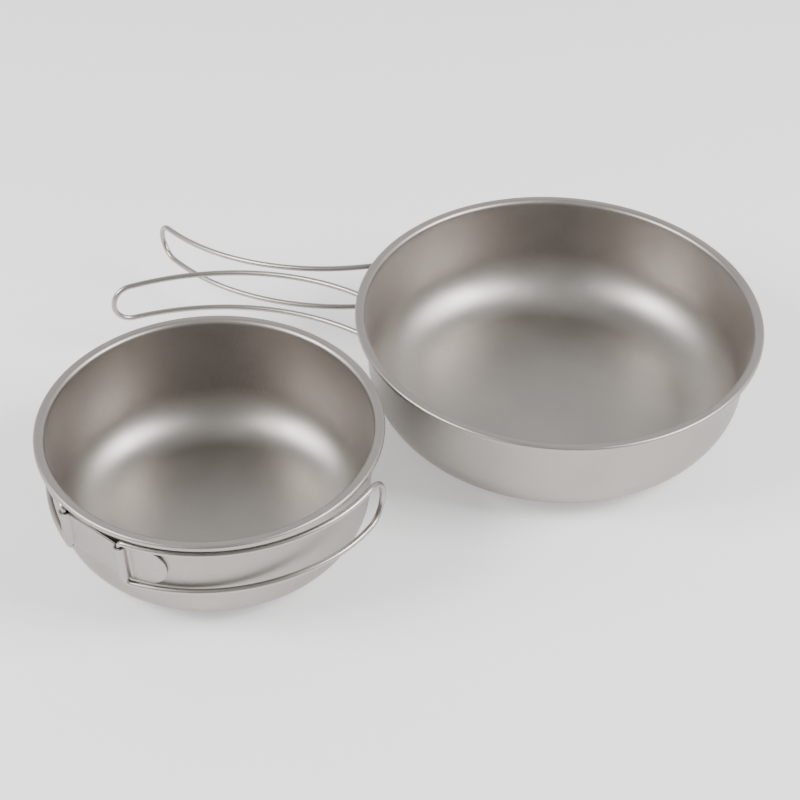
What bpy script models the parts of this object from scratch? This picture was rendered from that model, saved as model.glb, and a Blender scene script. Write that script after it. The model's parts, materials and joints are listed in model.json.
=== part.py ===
"""A camping pan and bowl of thin titanium sheet, each with a pair of folding wire handles.

Each vessel is one deep-drawn shell with a rolled lip. A stamped strap is spot-welded to its
wall, and the strap's two knuckles hold the bent ends of the two handles, which are single
lengths of wire and swing about upright axes. The pan stands with its handles swung out, and
the bowl beside it with its handles folded round its wall.

Metres, +Z up. The set stands on z = 0, with the origin at the middle of its box.
"""

import math
from collections import namedtuple

import bmesh
import bpy

MM = 0.001
CLEARANCE = 0.3 * MM

# Sheet and lip, the same on both vessels. The lip is a flat flange between two bends,
# with a short skirt hanging from its outer edge.
SHEET = 0.5 * MM
LIP_WIDTH = 4.6 * MM
LIP_CURL = 1.1 * MM
LIP_BEND = 2.2 * MM
LIP_SKIRT = 1.9 * MM

Vessel = namedtuple("Vessel", "rim height corner draft")
PAN = Vessel(rim=90 * MM, height=50.2 * MM, corner=24.8 * MM, draft=math.radians(4.3))
BOWL = Vessel(rim=71.1 * MM, height=54 * MM, corner=20.8 * MM, draft=math.radians(3.15))

# From the bowl's axis to the pan's. The origin is midway along the set both ways.
SPACING_X = 146.2 * MM
SPACING_Y = 82.5 * MM
PAN_X = (SPACING_X + BOWL.rim - PAN.rim) / 2
PAN_Y = (SPACING_Y + BOWL.rim - PAN.rim) / 2
BOWL_X = PAN_X - SPACING_X
BOWL_Y = PAN_Y - SPACING_Y

# Wire and knuckles. A handle's ends turn through ROD_BEND into its knuckle, one from above
# and one from below, and stop STUB_GAP apart.
ROD = 1.25 * MM
ROD_BEND = 2 * MM
STUB_GAP = 3 * MM
STRAP = 0.8 * MM
KNUCKLE_BORE = ROD + CLEARANCE
KNUCKLE_FILLET = 1.2 * MM

# The strap's edges, from its middle height, and how far its ears reach past their hinges.
STRAP_TOP = 8.8 * MM
KNUCKLE_BOTTOM = -8.2 * MM
EAR_BOTTOM = -9.7 * MM
EAR_REACH = 17.8 * MM

# Where a strap is on its vessel: its bearing, half the angle between its hinges, the hinges'
# distance from the vessel's axis, and its middle height. A strap leans out with the wall.
Mount = namedtuple("Mount", "bearing half_angle reach height")
PAN_MOUNT = Mount(math.radians(162.9), math.radians(8), 87.9 * MM, 35.3 * MM)
BOWL_MOUNT = Mount(math.radians(-128), math.radians(12.8), 68.5 * MM, 36.5 * MM)

# A handle in plan runs on one or two arcs, as (length, radius). Its legs lie this far above
# and below its middle at the hinge and at the tip, and bow apart this much midway.
Loop = namedtuple("Loop", "runs spread_at_hinge spread_at_tip bow")
PAN_LOOP = Loop([(113.7 * MM, 112 * MM)], 11.3 * MM, 8.75 * MM, 0)
BOWL_RIGHT_LOOP = Loop(
    [(82 * MM, 80.8 * MM), (25.3 * MM, 65.6 * MM)], 11.3 * MM, 10.35 * MM, -0.5 * MM
)
BOWL_LEFT_LOOP = BOWL_RIGHT_LOOP._replace(runs=[(40 * MM, 80.8 * MM), (67.3 * MM, 66 * MM)])

# A handle hangs by its upper end, so it lies this far below the strap's middle.
HANDLE_DROP = 0.45 * MM

# How far each handle is swung out from the wall's tangent at its hinge.
PAN_REAR_SWING = math.radians(122.7)
PAN_FRONT_SWING = math.radians(119.3)
BOWL_SWING = math.radians(-3)

TURN_STEPS = 64
CORNER_STEPS = 7
LIP_STEPS = 3
FILLET_STEPS = 3
KNUCKLE_STEPS = 8
EAR_STEPS = 8
LEG_STEPS = 14
TIP_STEPS = 12
BEND_STEPS = 5
MERGE = 1e-6


def clear_scene():
    for old in list(bpy.data.objects):
        bpy.data.objects.remove(old, do_unlink=True)


def make_material(name, colour, roughness):
    material = bpy.data.materials.new(name)
    material.use_nodes = True
    shader = material.node_tree.nodes["Principled BSDF"]
    shader.inputs["Base Color"].default_value = (*colour, 1)
    shader.inputs["Metallic"].default_value = 1
    shader.inputs["Roughness"].default_value = roughness
    return material


def add_object(name, data, collection, material):
    piece = bpy.data.objects.new(name, data)
    collection.objects.link(piece)
    data.materials.append(material)
    return piece


def arc(centre, radius, start, end, steps):
    """Points on a circle from the angle start to the angle end, both included."""
    angles = [start + (end - start) * step / steps for step in range(steps + 1)]
    return [
        (centre[0] + radius * math.cos(angle), centre[1] + radius * math.sin(angle))
        for angle in angles
    ]


def wall_top(vessel):
    """Radius and height of the point where the outside of the wall meets the lip's bend."""
    radius = LIP_BEND - SHEET
    return (
        vessel.rim - LIP_WIDTH + SHEET,
        vessel.height - SHEET - radius * (1 - math.sin(vessel.draft)),
    )


def wall_radius(vessel, height):
    top_radius, top_height = wall_top(vessel)
    return top_radius - (top_height - height) * math.tan(vessel.draft)


def vessel_profile(vessel):
    """Outside of the sheet, as (radius, height): up the skirt, over the lip, down the wall
    and in along the base to the axis."""
    curl = LIP_CURL - SHEET
    bend = LIP_BEND - SHEET
    draft = vessel.draft
    top_radius = wall_top(vessel)[0]
    low_height = vessel.corner * (1 - math.sin(draft))
    low_radius = wall_radius(vessel, low_height)
    curl_centre = (vessel.rim - LIP_CURL, vessel.height - LIP_CURL)
    bend_centre = (top_radius + bend * math.cos(draft), vessel.height - LIP_BEND)
    corner_centre = (low_radius - vessel.corner * math.cos(draft), vessel.corner)
    points = [(vessel.rim - SHEET, vessel.height - LIP_SKIRT)]
    points += arc(curl_centre, curl, 0, math.pi / 2, LIP_STEPS)
    points += arc(bend_centre, bend, math.pi / 2, math.pi - draft, LIP_STEPS)
    points += arc(corner_centre, vessel.corner, -draft, -math.pi / 2, CORNER_STEPS)
    return points + [(0, 0)]


def make_vessel(name, vessel, x, y, collection, material):
    points = vessel_profile(vessel)
    mesh = bpy.data.meshes.new(name)
    edges = [(index, index + 1) for index in range(len(points) - 1)]
    mesh.from_pydata([(radius, 0, height) for radius, height in points], edges, [])
    piece = add_object(name, mesh, collection, material)
    piece.location = (x, y, 0)
    turn = piece.modifiers.new("turn", "SCREW")
    turn.steps = TURN_STEPS
    turn.render_steps = TURN_STEPS
    turn.use_merge_vertices = True
    turn.merge_threshold = MERGE
    sheet = piece.modifiers.new("sheet", "SOLIDIFY")
    sheet.thickness = SHEET
    sheet.offset = -1
    sheet.use_even_offset = True
    return piece


def make_mount(name, vessel, mount, holder, collection):
    """An empty on the wall where the strap's middle is. Its X points out and its Z up along
    the wall, so all that is parented to it leans as the wall does."""
    frame = bpy.data.objects.new(name, None)
    collection.objects.link(frame)
    radius = wall_radius(vessel, mount.height)
    frame.parent = holder
    frame.location = (
        radius * math.cos(mount.bearing),
        radius * math.sin(mount.bearing),
        mount.height,
    )
    frame.rotation_euler = (0, vessel.draft, mount.bearing)
    return frame


def strap_half(vessel, mount):
    """Inside of half the strap in plan, from its middle to its ear's end, with x out from the
    vessel's axis. Each point has the heights of the strap's lower and upper edges there."""
    wall = wall_radius(vessel, mount.height) + CLEARANCE
    hinge = (mount.reach * math.cos(mount.half_angle), mount.reach * math.sin(mount.half_angle))
    outside = KNUCKLE_BORE + KNUCKLE_FILLET
    fillet_reach = wall + KNUCKLE_FILLET
    # The flat middle meets the knuckle in one fillet.
    flat_drop = fillet_reach - hinge[0]
    flat_fillet = (fillet_reach, hinge[1] - math.sqrt(outside**2 - flat_drop**2))
    # The ear, which follows the wall, meets it in another.
    ear_angle = mount.half_angle + math.acos(
        (mount.reach**2 + fillet_reach**2 - outside**2) / (2 * mount.reach * fillet_reach)
    )
    ear_fillet = (fillet_reach * math.cos(ear_angle), fillet_reach * math.sin(ear_angle))
    into_knuckle = math.atan2(hinge[1] - flat_fillet[1], hinge[0] - flat_fillet[0])
    out_of_knuckle = math.atan2(hinge[1] - ear_fillet[1], hinge[0] - ear_fillet[0])

    path = [(wall, 0)]
    path += arc(flat_fillet, KNUCKLE_FILLET, math.pi, into_knuckle, FILLET_STEPS)
    start = into_knuckle - math.pi
    end = out_of_knuckle + math.pi
    path += arc(hinge, KNUCKLE_BORE, start, end, KNUCKLE_STEPS)[1:]
    edges = [(KNUCKLE_BOTTOM, STRAP_TOP)] * len(path)
    path += arc(ear_fillet, KNUCKLE_FILLET, out_of_knuckle, ear_angle - math.pi, FILLET_STEPS)[1:]
    edges += [(EAR_BOTTOM, STRAP_TOP)] * FILLET_STEPS
    # The ear ends in a half round, so its columns crowd towards the end.
    middle = (STRAP_TOP + EAR_BOTTOM) / 2
    half_height = (STRAP_TOP - EAR_BOTTOM) / 2
    ear_end = mount.half_angle + EAR_REACH / wall
    round_start = ear_end - half_height / wall
    for step in range(EAR_STEPS + 1):
        turned = math.pi / 2 * step / EAR_STEPS
        angle = round_start + (ear_end - round_start) * math.sin(turned)
        path.append((wall * math.cos(angle), wall * math.sin(angle)))
        level = half_height * math.cos(turned)
        edges.append((middle - level, middle + level))
    return [(x, y, low, high) for (x, y), (low, high) in zip(path, edges)]


def make_strap(name, vessel, mount, holder, collection, material):
    radius = wall_radius(vessel, mount.height)
    columns = [(x - radius, y, low, high) for x, y, low, high in strap_half(vessel, mount)]
    tip = columns.pop()
    form = bmesh.new()
    lowers = [form.verts.new((x, y, low)) for x, y, low, _ in columns]
    uppers = [form.verts.new((x, y, high)) for x, y, _, high in columns]
    end = form.verts.new((tip[0], tip[1], (tip[2] + tip[3]) / 2))
    for left in range(len(columns) - 1):
        right = left + 1
        form.faces.new((lowers[left], lowers[right], uppers[right], uppers[left]))
    form.faces.new((lowers[-1], end, uppers[-1]))
    mesh = bpy.data.meshes.new(name)
    form.to_mesh(mesh)
    form.free()
    piece = add_object(name, mesh, collection, material)
    piece.parent = holder
    mirror = piece.modifiers.new("other half", "MIRROR")
    mirror.use_axis = (False, True, False)
    mirror.merge_threshold = MERGE
    strap = piece.modifiers.new("sheet", "SOLIDIFY")
    strap.thickness = STRAP
    strap.offset = 1
    strap.use_even_offset = True
    return piece


def plan_point(runs, distance, side):
    """Where the handle is at this distance from its hinge, which it leaves along +X. It turns
    left when side is 1 and right when side is -1."""
    x, y, heading = 0.0, 0.0, 0.0
    for index, (length, radius) in enumerate(runs):
        last = index == len(runs) - 1
        part = distance if last else min(distance, length)
        turned = part / radius
        x += radius * (math.sin(heading + turned) - math.sin(heading))
        y += radius * (math.cos(heading) - math.cos(heading + turned))
        heading += turned
        distance -= part
        if distance <= 0:
            break
    return x, side * y


def handle_route(loop, side):
    """Centre line of the wire, from its upper end to its lower end, with z = 0 midway."""
    reach = sum(length for length, _ in loop.runs)
    route = []
    upper = [(0, STUB_GAP / 2)]
    turn_height = loop.spread_at_hinge - ROD_BEND
    upper += [
        (distance, height)
        for distance, height in arc((ROD_BEND, turn_height), ROD_BEND, math.pi, math.pi / 2, BEND_STEPS)
    ]
    for step in range(1, LEG_STEPS + 1):
        share = step / LEG_STEPS
        spread = loop.spread_at_hinge + (loop.spread_at_tip - loop.spread_at_hinge) * share
        spread += loop.bow * 4 * share * (1 - share)
        upper.append((ROD_BEND + (reach - ROD_BEND) * share, spread))
    tip = arc((reach, 0), loop.spread_at_tip, math.pi / 2, -math.pi / 2, TIP_STEPS)[1:-1]
    lower = [(distance, -height) for distance, height in reversed(upper)]
    for distance, height in upper + tip + lower:
        route.append((*plan_point(loop.runs, distance, side), height))
    return route


def make_handle(name, vessel, mount, loop, side, swing, holder, collection, material):
    """A handle that turns to side 1 is hinged on the strap's +Y end, and folds to the left."""
    route = handle_route(loop, side)
    curve = bpy.data.curves.new(name, "CURVE")
    curve.dimensions = "3D"
    curve.bevel_depth = ROD
    curve.bevel_resolution = 2
    curve.use_fill_caps = True
    spline = curve.splines.new("POLY")
    spline.points.add(len(route) - 1)
    for point, place in zip(spline.points, route):
        point.co = (*place, 1)
    piece = add_object(name, curve, collection, material)
    piece.parent = holder
    piece.location = (
        mount.reach * math.cos(mount.half_angle) - wall_radius(vessel, mount.height),
        side * mount.reach * math.sin(mount.half_angle),
        -HANDLE_DROP,
    )
    piece.rotation_euler = (0, 0, side * (mount.half_angle + math.pi / 2 - swing))
    return piece


def main():
    clear_scene()
    parts = bpy.data.collections.new("cooking_pot_set")
    bpy.context.scene.collection.children.link(parts)

    pan_metal = make_material("pan_titanium", (0.44, 0.425, 0.40), 0.45)
    bowl_metal = make_material("bowl_titanium", (0.44, 0.425, 0.40), 0.45)
    strap_metal = make_material("strap_titanium", (0.46, 0.44, 0.41), 0.42)
    wire_metal = make_material("wire_titanium", (0.50, 0.485, 0.46), 0.33)

    pan = make_vessel("pan_body", PAN, PAN_X, PAN_Y, parts, pan_metal)
    pan_wall = make_mount("pan_mount", PAN, PAN_MOUNT, pan, parts)
    make_strap("pan_bracket", PAN, PAN_MOUNT, pan_wall, parts, strap_metal)
    for name, side, swing in (
        ("pan_handle_rear", -1, PAN_REAR_SWING),
        ("pan_handle_front", 1, PAN_FRONT_SWING),
    ):
        make_handle(name, PAN, PAN_MOUNT, PAN_LOOP, side, swing, pan_wall, parts, wire_metal)

    bowl = make_vessel("bowl_body", BOWL, BOWL_X, BOWL_Y, parts, bowl_metal)
    bowl_wall = make_mount("bowl_mount", BOWL, BOWL_MOUNT, bowl, parts)
    make_strap("bowl_bracket", BOWL, BOWL_MOUNT, bowl_wall, parts, strap_metal)
    for name, side, loop in (
        ("bowl_handle_left", -1, BOWL_LEFT_LOOP),
        ("bowl_handle_right", 1, BOWL_RIGHT_LOOP),
    ):
        make_handle(name, BOWL, BOWL_MOUNT, loop, side, BOWL_SWING, bowl_wall, parts, wire_metal)


main()
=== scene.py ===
"""Looks of the cooking pot set: a pan and a bowl of sandblasted titanium sheet, with stamped
straps and folding wire handles. Metres, +Z up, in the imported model's own frame.
"""

import json
import math
from collections import namedtuple

import bmesh
import bpy
from mathutils import Matrix, Vector


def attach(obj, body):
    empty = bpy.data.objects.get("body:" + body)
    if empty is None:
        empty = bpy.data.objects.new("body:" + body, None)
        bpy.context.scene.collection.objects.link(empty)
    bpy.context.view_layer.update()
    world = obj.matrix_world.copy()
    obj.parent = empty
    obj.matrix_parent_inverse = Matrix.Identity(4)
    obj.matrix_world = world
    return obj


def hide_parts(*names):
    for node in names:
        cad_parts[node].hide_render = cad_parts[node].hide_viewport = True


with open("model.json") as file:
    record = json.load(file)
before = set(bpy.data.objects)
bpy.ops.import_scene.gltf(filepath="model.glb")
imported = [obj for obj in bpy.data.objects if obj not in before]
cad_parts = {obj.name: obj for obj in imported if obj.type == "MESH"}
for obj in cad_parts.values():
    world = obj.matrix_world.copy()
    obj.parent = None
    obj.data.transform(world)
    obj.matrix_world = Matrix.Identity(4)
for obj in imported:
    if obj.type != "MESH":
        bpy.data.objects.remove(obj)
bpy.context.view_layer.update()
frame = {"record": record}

MM = 0.001
CLEARANCE = 0.3 * MM

# Sheet and lip, the same on both vessels.
SHEET = 0.5 * MM
LIP_WIDTH = 4.6 * MM
LIP_CURL = 1.1 * MM
LIP_BEND = 2.2 * MM
LIP_SKIRT = 1.9 * MM

Vessel = namedtuple("Vessel", "rim height corner draft")
PAN = Vessel(rim=90 * MM, height=50.2 * MM, corner=24.8 * MM, draft=math.radians(4.3))
BOWL = Vessel(rim=71.1 * MM, height=54 * MM, corner=20.8 * MM, draft=math.radians(3.15))

# Wire and knuckles.
ROD = 1.25 * MM
ROD_BEND = 2 * MM
STUB_GAP = 3 * MM
STRAP = 0.8 * MM
KNUCKLE_BORE = ROD + CLEARANCE
KNUCKLE_FILLET = 1.9 * MM
STRAP_TOP = 8.8 * MM
KNUCKLE_BOTTOM = -8.2 * MM
EAR_BOTTOM = -9.7 * MM
EAR_REACH = 17.8 * MM
EAR_END_HALF_WIDTH = 0.02 * MM
EDGE_ROUNDING = 0.14 * MM
HANDLE_DROP = 0.45 * MM

Mount = namedtuple("Mount", "bearing half_angle reach height")
PAN_MOUNT = Mount(math.radians(162.9), math.radians(8), 87.9 * MM, 35.3 * MM)
BOWL_MOUNT = Mount(math.radians(-128), math.radians(12.8), 68.5 * MM, 36.5 * MM)

Loop = namedtuple("Loop", "runs spread_at_hinge spread_at_tip bow")
PAN_LOOP = Loop([(113.7 * MM, 112 * MM)], 11.3 * MM, 8.75 * MM, 0)
BOWL_RIGHT_LOOP = Loop(
    [(82 * MM, 80.8 * MM), (25.3 * MM, 65.6 * MM)], 11.3 * MM, 10.35 * MM, -0.5 * MM
)
BOWL_LEFT_LOOP = BOWL_RIGHT_LOOP._replace(runs=[(40 * MM, 80.8 * MM), (67.3 * MM, 66 * MM)])
PAN_REAR_SWING = math.radians(122.7)
PAN_FRONT_SWING = math.radians(119.3)
BOWL_SWING = math.radians(-3)

# Spot welds on a strap, as shallow pits: how far along from the middle of the plate, as a share
# of the way to the hinge, or how far past the hinge, and how far above the strap's middle. A
# pit is deepest on a ring round its middle.
WELD_RADIUS = 0.7 * MM
WELD_DEPTH = 0.16 * MM
WELD_RING = 0.55 * WELD_RADIUS
WELD_RING_WIDTH = 0.38 * WELD_RADIUS
WELD_REACH = 1.6 * WELD_RADIUS
PLATE_WELDS = [(0.53, 4.6 * MM), (0.53, -4.9 * MM)]
EAR_WELDS = [(6.4 * MM, 5.4 * MM), (6.4 * MM, -6.1 * MM), (14.2 * MM, -0.8 * MM)]

TURN_STEPS = 288
CORNER_STEPS = 28
LIP_STEPS = 10
WALL_STEPS = 10
BASE_STEPS = 16
PLATE_STEPS = 44
FILLET_STEPS = 6
NOTCH_STEPS = 3
KNUCKLE_STEPS = 22
EAR_STEPS = 30
EAR_END_STEPS = 26
STRAP_ROWS = 56
LEG_STEPS = 64
TIP_STEPS = 40
BEND_STEPS = 12
MERGE = 1e-6
SMOOTH_ANGLE = math.radians(50)

SOFTBOX_SIDE = 0.6
SOFTBOX_AIM = (0, 0, 0.02)
FRONT_LIGHT = 0.38
BACK_LIGHT = 1.05
FLOOR_HALF = 4
FLOOR_DROP = 0.2 * MM
FLOOR_WHITE = 0.9
FLOOR_ROUGHNESS = 0.9
FLOOR_GLOW = 0.4

CAMERA_PLACE = (-5.69 * MM, -603.49 * MM, 544.88 * MM)
CAMERA_PITCH = math.radians(40.7755)
CAMERA_ROLL = math.radians(1.1081)
CAMERA_LENS = 82.02


def arc(centre, radius, start, end, steps):
    angles = [start + (end - start) * step / steps for step in range(steps + 1)]
    return [
        (centre[0] + radius * math.cos(angle), centre[1] + radius * math.sin(angle))
        for angle in angles
    ]


def between(start, end, steps):
    """Points from start to end, without either."""
    return [
        tuple(a + (b - a) * step / steps for a, b in zip(start, end)) for step in range(1, steps)
    ]


# ---------------------------------------------------------------- vessels


def wall_top(vessel):
    radius = LIP_BEND - SHEET
    return (
        vessel.rim - LIP_WIDTH + SHEET,
        vessel.height - SHEET - radius * (1 - math.sin(vessel.draft)),
    )


def wall_radius(vessel, height):
    top_radius, top_height = wall_top(vessel)
    return top_radius - (top_height - height) * math.tan(vessel.draft)


def vessel_profile(vessel):
    """Outside of the sheet: up the skirt, over the lip, down the wall and in along the base."""
    curl = LIP_CURL - SHEET
    bend = LIP_BEND - SHEET
    draft = vessel.draft
    top_radius = wall_top(vessel)[0]
    low_height = vessel.corner * (1 - math.sin(draft))
    low_radius = wall_radius(vessel, low_height)
    curl_centre = (vessel.rim - LIP_CURL, vessel.height - LIP_CURL)
    bend_centre = (top_radius + bend * math.cos(draft), vessel.height - LIP_BEND)
    corner_centre = (low_radius - vessel.corner * math.cos(draft), vessel.corner)
    skirt = (vessel.rim - SHEET, vessel.height - LIP_SKIRT)
    over = arc(curl_centre, curl, 0, math.pi / 2, LIP_STEPS)
    down = arc(bend_centre, bend, math.pi / 2, math.pi - draft, LIP_STEPS)
    corner = arc(corner_centre, vessel.corner, -draft, -math.pi / 2, CORNER_STEPS)
    points = [skirt] + between(skirt, over[0], 3) + over
    points += between(over[-1], down[0], 4) + down
    points += between(down[-1], corner[0], WALL_STEPS) + corner
    return points + between(corner[-1], (0, 0), BASE_STEPS) + [(0, 0)]


def add_piece(name, data, material, node):
    piece = bpy.data.objects.new(name, data)
    bpy.context.scene.collection.objects.link(piece)
    data.materials.append(material)
    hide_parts(node)
    return piece


def make_vessel(name, vessel, place, material, node, body):
    points = vessel_profile(vessel)
    mesh = bpy.data.meshes.new(name)
    edges = [(index, index + 1) for index in range(len(points) - 1)]
    mesh.from_pydata([(radius, 0, height) for radius, height in points], edges, [])
    piece = add_piece(name, mesh, material, node)
    turn = piece.modifiers.new("turn", "SCREW")
    turn.steps = TURN_STEPS
    turn.render_steps = TURN_STEPS
    turn.use_merge_vertices = True
    turn.merge_threshold = MERGE
    turn.use_smooth_shade = True
    sheet = piece.modifiers.new("sheet", "SOLIDIFY")
    sheet.thickness = SHEET
    sheet.offset = -1
    sheet.use_even_offset = True
    finish_mesh(piece)
    piece.data.transform(Matrix.Translation(place))
    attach(piece, body)


def finish_mesh(piece, bevel=0.0):
    """Turn the modifiers into a plain mesh, with smooth faces and crisp edges, which are rounded
    first when bevel is given."""
    if bevel:
        rounding = piece.modifiers.new("rounding", "BEVEL")
        rounding.width = bevel
        rounding.segments = 2
        rounding.limit_method = "ANGLE"
        rounding.angle_limit = SMOOTH_ANGLE
        rounding.harden_normals = False
    bpy.context.view_layer.update()
    whole = bpy.data.meshes.new_from_object(
        piece.evaluated_get(bpy.context.evaluated_depsgraph_get())
    )
    piece.modifiers.clear()
    piece.data = whole
    whole.shade_smooth()
    whole.set_sharp_from_angle(angle=SMOOTH_ANGLE)


# ---------------------------------------------------------------- straps


def strap_path(vessel, mount):
    """Half the strap in plan, from its middle to its ear's end, as (x, y, low, high), and the
    place of its hinge. x points out from the vessel's axis."""
    wall = wall_radius(vessel, mount.height) + CLEARANCE
    hinge = (mount.reach * math.cos(mount.half_angle), mount.reach * math.sin(mount.half_angle))
    outside = KNUCKLE_BORE + KNUCKLE_FILLET
    fillet_reach = wall + KNUCKLE_FILLET
    flat_drop = fillet_reach - hinge[0]
    flat_fillet = (fillet_reach, hinge[1] - math.sqrt(outside**2 - flat_drop**2))
    ear_angle = mount.half_angle + math.acos(
        (mount.reach**2 + fillet_reach**2 - outside**2) / (2 * mount.reach * fillet_reach)
    )
    ear_fillet = (fillet_reach * math.cos(ear_angle), fillet_reach * math.sin(ear_angle))
    into_knuckle = math.atan2(hinge[1] - flat_fillet[1], hinge[0] - flat_fillet[0])
    out_of_knuckle = math.atan2(hinge[1] - ear_fillet[1], hinge[0] - ear_fillet[0])

    fillet = arc(flat_fillet, KNUCKLE_FILLET, math.pi, into_knuckle, FILLET_STEPS)
    path = [(wall, 0)] + between((wall, 0), fillet[0], PLATE_STEPS) + fillet
    path += arc(
        hinge, KNUCKLE_BORE, into_knuckle - math.pi, out_of_knuckle + math.pi, KNUCKLE_STEPS
    )[1:]
    edges = [(KNUCKLE_BOTTOM, STRAP_TOP)] * len(path)
    path += arc(ear_fillet, KNUCKLE_FILLET, out_of_knuckle, ear_angle - math.pi, FILLET_STEPS)[1:]
    for step in range(FILLET_STEPS):
        # The notch between the knuckle's lower end and the ear.
        share = min(1, (step + 1) / NOTCH_STEPS)
        low = KNUCKLE_BOTTOM + (EAR_BOTTOM - KNUCKLE_BOTTOM) * share
        edges.append((low, STRAP_TOP))
    middle = (STRAP_TOP + EAR_BOTTOM) / 2
    half_height = (STRAP_TOP - EAR_BOTTOM) / 2
    ear_end = mount.half_angle + EAR_REACH / wall
    round_start = ear_end - half_height / wall
    for step in range(1, EAR_STEPS):
        angle = ear_angle + (round_start - ear_angle) * step / EAR_STEPS
        path.append((wall * math.cos(angle), wall * math.sin(angle)))
        edges.append((EAR_BOTTOM, STRAP_TOP))
    for step in range(EAR_END_STEPS + 1):
        turned = math.pi / 2 * step / EAR_END_STEPS
        angle = round_start + (ear_end - round_start) * math.sin(turned)
        level = max(half_height * math.cos(turned), EAR_END_HALF_WIDTH)
        path.append((wall * math.cos(angle), wall * math.sin(angle)))
        edges.append((middle - level, middle + level))
    return [(x, y, low, high) for (x, y), (low, high) in zip(path, edges)], hinge


def weld_pit(x, y, z, hinge, wall, mount):
    """How deep the spot welds press the strap in at this place, on either half."""
    depth = 0.0
    angle = math.atan2(abs(y), x)
    past = (angle - mount.half_angle) * wall
    for share, level in PLATE_WELDS:
        depth = max(depth, pit(abs(y) - share * hinge[1], z - level))
    for reach, level in EAR_WELDS:
        depth = max(depth, pit(past - reach, z - level))
    return depth


def pit(across, up):
    distance = math.hypot(across, up)
    if distance >= WELD_REACH:
        return 0.0
    return WELD_DEPTH * math.exp(-(((distance - WELD_RING) / WELD_RING_WIDTH) ** 2))


def strap_mesh(name, vessel, mount):
    half, hinge = strap_path(vessel, mount)
    wall = wall_radius(vessel, mount.height) + CLEARANCE
    other = [(x, -y, low, high) for x, y, low, high in reversed(half[1:])]
    columns = other + half
    form = bmesh.new()
    grid = []
    for x, y, low, high in columns:
        column = []
        for row in range(STRAP_ROWS + 1):
            z = low + (high - low) * row / STRAP_ROWS
            sunk = weld_pit(x, y, z, hinge, wall, mount)
            out = math.hypot(x, y)
            scale = (out - sunk) / out
            column.append(
                form.verts.new((x * scale - wall_radius(vessel, mount.height), y * scale, z))
            )
        grid.append(column)
    for left, right in zip(grid, grid[1:]):
        for row in range(STRAP_ROWS):
            form.faces.new((left[row], right[row], right[row + 1], left[row + 1]))
    mesh = bpy.data.meshes.new(name)
    form.to_mesh(mesh)
    form.free()
    return mesh


def wall_frame(vessel, mount, place):
    """On the wall where the strap's middle is, X out and Z up along the wall."""
    radius = wall_radius(vessel, mount.height)
    return (
        Matrix.Translation(place)
        @ Matrix.Rotation(mount.bearing, 4, "Z")
        @ Matrix.Translation((radius, 0, mount.height))
        @ Matrix.Rotation(vessel.draft, 4, "Y")
    )


def make_strap(name, vessel, mount, place, material, node, body):
    mesh = strap_mesh(name, vessel, mount)
    piece = add_piece(name, mesh, material, node)
    strap = piece.modifiers.new("sheet", "SOLIDIFY")
    strap.thickness = STRAP
    strap.offset = 1
    strap.use_even_offset = True
    finish_mesh(piece, bevel=EDGE_ROUNDING)
    piece.data.transform(wall_frame(vessel, mount, place))
    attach(piece, body)


# ---------------------------------------------------------------- handles


def plan_point(runs, distance, side):
    """Place and heading at this distance from the hinge, which the wire leaves along +X."""
    x, y, heading = 0.0, 0.0, 0.0
    for index, (length, radius) in enumerate(runs):
        last = index == len(runs) - 1
        part = distance if last else min(distance, length)
        turned = part / radius
        x += radius * (math.sin(heading + turned) - math.sin(heading))
        y += radius * (math.cos(heading) - math.cos(heading + turned))
        heading += turned
        distance -= part
        if distance <= 0:
            break
    return x, side * y


def handle_route(loop, side):
    """Centre line of the wire, from its upper end to its lower end."""
    reach = sum(length for length, _ in loop.runs)
    turn_height = loop.spread_at_hinge - ROD_BEND
    upper = [(0, STUB_GAP / 2)] + between((0, STUB_GAP / 2), (0, turn_height), 4)
    upper += arc((ROD_BEND, turn_height), ROD_BEND, math.pi, math.pi / 2, BEND_STEPS)
    for step in range(1, LEG_STEPS + 1):
        share = step / LEG_STEPS
        spread = loop.spread_at_hinge + (loop.spread_at_tip - loop.spread_at_hinge) * share
        spread += loop.bow * 4 * share * (1 - share)
        upper.append((ROD_BEND + (reach - ROD_BEND) * share, spread))
    tip = arc((reach, 0), loop.spread_at_tip, math.pi / 2, -math.pi / 2, TIP_STEPS)[1:-1]
    lower = [(distance, -height) for distance, height in reversed(upper)]
    return [
        (*plan_point(loop.runs, distance, side), height) for distance, height in upper + tip + lower
    ]


def make_handle(name, vessel, mount, loop, side, swing, place, material, node, body):
    hinge = (
        mount.reach * math.cos(mount.half_angle) - wall_radius(vessel, mount.height),
        side * mount.reach * math.sin(mount.half_angle),
        -HANDLE_DROP,
    )
    turn = side * (mount.half_angle + math.pi / 2 - swing)
    swung = (
        wall_frame(vessel, mount, place)
        @ Matrix.Translation(hinge)
        @ Matrix.Rotation(turn, 4, "Z")
    )
    curve = bpy.data.curves.new(name, "CURVE")
    curve.dimensions = "3D"
    curve.bevel_depth = ROD
    curve.bevel_resolution = 7
    curve.use_fill_caps = True
    spline = curve.splines.new("POLY")
    route = handle_route(loop, side)
    spline.points.add(len(route) - 1)
    for point, spot in zip(spline.points, route):
        point.co = (*(swung @ Vector(spot)), 1)
    spline.use_smooth = True
    piece = add_piece(name, curve, material, node)
    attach(piece, body)


# ---------------------------------------------------------------- materials


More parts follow.
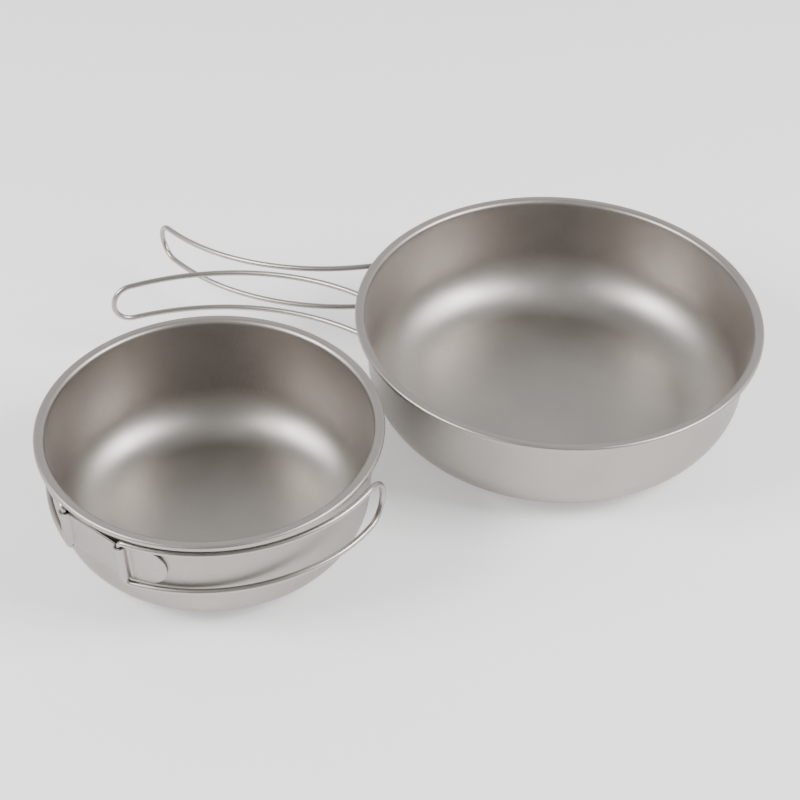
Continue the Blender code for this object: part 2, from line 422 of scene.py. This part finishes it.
class Shading:
    """A small helper that adds nodes and joins them."""

    def __init__(self, name):
        self.material = bpy.data.materials.new(name)
        self.material.use_nodes = True
        self.tree = self.material.node_tree
        self.shader = self.tree.nodes["Principled BSDF"]

    def node(self, kind, **settings):
        node = self.tree.nodes.new(kind)
        for key, value in settings.items():
            setattr(node, key, value)
        return node

    def join(self, source, target):
        self.tree.links.new(source, target)

    def noise(self, scale, detail, roughness=0.5):
        place = self.node("ShaderNodeTexCoord")
        noise = self.node("ShaderNodeTexNoise")
        noise.inputs["Scale"].default_value = scale
        noise.inputs["Detail"].default_value = detail
        noise.inputs["Roughness"].default_value = roughness
        self.join(place.outputs["Object"], noise.inputs["Vector"])
        return noise.outputs["Fac"]

    def spread(self, value, low, high, start=0.3, end=0.7):
        """value, from start to end, as a number from low to high."""
        node = self.node("ShaderNodeMapRange")
        node.inputs["From Min"].default_value = start
        node.inputs["From Max"].default_value = end
        node.inputs["To Min"].default_value = low
        node.inputs["To Max"].default_value = high
        self.join(value, node.inputs["Value"])
        return node.outputs["Result"]

    def tint(self, value, first, second):
        node = self.node("ShaderNodeMix", data_type="RGBA")
        node.inputs["A"].default_value = (*first, 1)
        node.inputs["B"].default_value = (*second, 1)
        self.join(value, node.inputs["Factor"])
        return node.outputs["Result"]


def titanium(name, colour, warm, roughness, grain, blast):
    """Sandblasted or drawn titanium: cloudy in colour, finely pitted, and with a painted highlight
    that lightens the colour on sharp convex edges."""
    look = Shading(name)
    shader = look.shader
    shader.inputs["Metallic"].default_value = 1

    clouds = look.noise(28, 3)
    body = look.tint(look.spread(clouds, 0, 1), colour, warm)
    speckle = look.noise(grain, 2, 0.7)
    # Painted highlight: the base colour is lightened on sharp convex edges, such as the lip's curl,
    # standing in for the bright line the light makes there.
    painted_highlight_colour = tuple(min(1, part * 1.25) for part in colour)
    curve = look.node("ShaderNodeNewGeometry")
    painted_edge_light = look.spread(curve.outputs["Pointiness"], 0, 0.5, 0.52, 0.6)
    mix = look.node("ShaderNodeMix", data_type="RGBA")
    mix.inputs["B"].default_value = (*painted_highlight_colour, 1)
    look.join(painted_edge_light, mix.inputs["Factor"])
    look.join(body, mix.inputs["A"])
    dust = look.node("ShaderNodeMix", data_type="RGBA", blend_type="MULTIPLY")
    dust.inputs["Factor"].default_value = 1
    look.join(mix.outputs["Result"], dust.inputs["A"])
    look.join(look.tint(look.spread(speckle, 0, 1), (0.94,) * 3, (1.05,) * 3), dust.inputs["B"])
    look.join(dust.outputs["Result"], shader.inputs["Base Color"])

    patches = look.noise(60, 4)
    look.join(
        look.spread(patches, roughness - 0.03, roughness + 0.03), shader.inputs["Roughness"]
    )
    bump = look.node("ShaderNodeBump")
    bump.inputs["Strength"].default_value = blast
    bump.inputs["Distance"].default_value = 0.02 * MM
    look.join(speckle, bump.inputs["Height"])
    look.join(bump.outputs["Normal"], shader.inputs["Normal"])
    return look.material


# ---------------------------------------------------------------- stage


def make_floor():
    form = bmesh.new()
    bmesh.ops.create_grid(form, x_segments=2, y_segments=2, size=FLOOR_HALF)
    mesh = bpy.data.meshes.new("floor")
    form.to_mesh(mesh)
    form.free()
    floor = bpy.data.objects.new("floor", mesh)
    bpy.context.scene.collection.objects.link(floor)
    floor.location = (0, 0, -FLOOR_DROP)
    paper = bpy.data.materials.new("floor_paper")
    paper.use_nodes = True
    shader = paper.node_tree.nodes["Principled BSDF"]
    shader.inputs["Base Color"].default_value = (FLOOR_WHITE, FLOOR_WHITE, FLOOR_WHITE, 1)
    shader.inputs["Roughness"].default_value = FLOOR_ROUGHNESS
    shader.inputs["Emission Color"].default_value = (1, 1, 1, 1)
    shader.inputs["Emission Strength"].default_value = FLOOR_GLOW
    mesh.materials.append(paper)


def make_softbox(name, place, power):
    light = bpy.data.lights.new(name, "AREA")
    light.shape = "RECTANGLE"
    light.size = SOFTBOX_SIDE
    light.size_y = SOFTBOX_SIDE
    light.energy = power
    lamp = bpy.data.objects.new(name, light)
    bpy.context.scene.collection.objects.link(lamp)
    away = Vector(place) - Vector(SOFTBOX_AIM)
    lamp.matrix_world = Matrix.Translation(place) @ away.to_track_quat("Z", "Y").to_matrix().to_4x4()


def make_world(front, back):
    """A white room that is brighter towards +Y, behind the set, than in front of it."""
    world = bpy.data.worlds.new("studio")
    bpy.context.scene.world = world
    world.use_nodes = True
    tree = world.node_tree
    ground = tree.nodes["Background"]
    ground.inputs["Color"].default_value = (1, 1, 1, 1)
    place = tree.nodes.new("ShaderNodeTexCoord")
    split = tree.nodes.new("ShaderNodeSeparateXYZ")
    fade = tree.nodes.new("ShaderNodeMapRange")
    fade.interpolation_type = "SMOOTHSTEP"
    fade.inputs["From Min"].default_value = 0.1
    fade.inputs["From Max"].default_value = 0.7
    fade.inputs["To Min"].default_value = front
    fade.inputs["To Max"].default_value = back
    tree.links.new(place.outputs["Generated"], split.inputs["Vector"])
    tree.links.new(split.outputs["Y"], fade.inputs["Value"])
    tree.links.new(fade.outputs["Result"], ground.inputs["Strength"])


def make_camera():
    data = bpy.data.cameras.new("camera")
    data.sensor_width = 36
    data.lens = CAMERA_LENS
    data.clip_start = 0.01
    camera = bpy.data.objects.new("camera", data)
    bpy.context.scene.collection.objects.link(camera)
    camera.matrix_world = (
        Matrix.Translation(CAMERA_PLACE)
        @ Matrix.Rotation(math.pi / 2 - CAMERA_PITCH, 4, "X")
        @ Matrix.Rotation(CAMERA_ROLL, 4, "Z")
    )
    bpy.context.scene.camera = camera


def main():
    mounts = {mount["name"]: mount["pos_m"] for mount in frame["record"]["mounts"]}
    pan_place = mounts["pan_base"]
    bowl_place = mounts["bowl_base"]

    sheet = titanium("blasted_sheet", (0.37, 0.345, 0.322), (0.41, 0.382, 0.355), 0.42, 2600, 0.85)
    strip = titanium("stamped_strip", (0.385, 0.362, 0.338), (0.42, 0.395, 0.369), 0.39, 2600, 0.6)
    wire = titanium("drawn_wire", (0.40, 0.373, 0.346), (0.44, 0.41, 0.38), 0.34, 3200, 0.06)

    make_vessel("pan_shell", PAN, pan_place, sheet, "pan_body", "pan")
    make_strap("pan_strap", PAN, PAN_MOUNT, pan_place, strip, "pan_bracket", "pan")
    for name, side, swing, node, body in (
        ("pan_wire_rear", -1, PAN_REAR_SWING, "pan_handle_rear", "pan_rear_loop"),
        ("pan_wire_front", 1, PAN_FRONT_SWING, "pan_handle_front", "pan_front_loop"),
    ):
        make_handle(name, PAN, PAN_MOUNT, PAN_LOOP, side, swing, pan_place, wire, node, body)

    make_vessel("bowl_shell", BOWL, bowl_place, sheet, "bowl_body", "bowl")
    make_strap("bowl_strap", BOWL, BOWL_MOUNT, bowl_place, strip, "bowl_bracket", "bowl")
    for name, side, loop, node, body in (
        ("bowl_wire_left", -1, BOWL_LEFT_LOOP, "bowl_handle_left", "bowl_left_loop"),
        ("bowl_wire_right", 1, BOWL_RIGHT_LOOP, "bowl_handle_right", "bowl_right_loop"),
    ):
        make_handle(name, BOWL, BOWL_MOUNT, loop, side, BOWL_SWING, bowl_place, wire, node, body)

    make_floor()
    make_world(FRONT_LIGHT, BACK_LIGHT)
    make_softbox("softbox_left", (-1.0, -0.3, 0.85), 19)
    make_softbox("softbox_right", (0.95, -0.2, 0.9), 21)
    make_camera()


main()
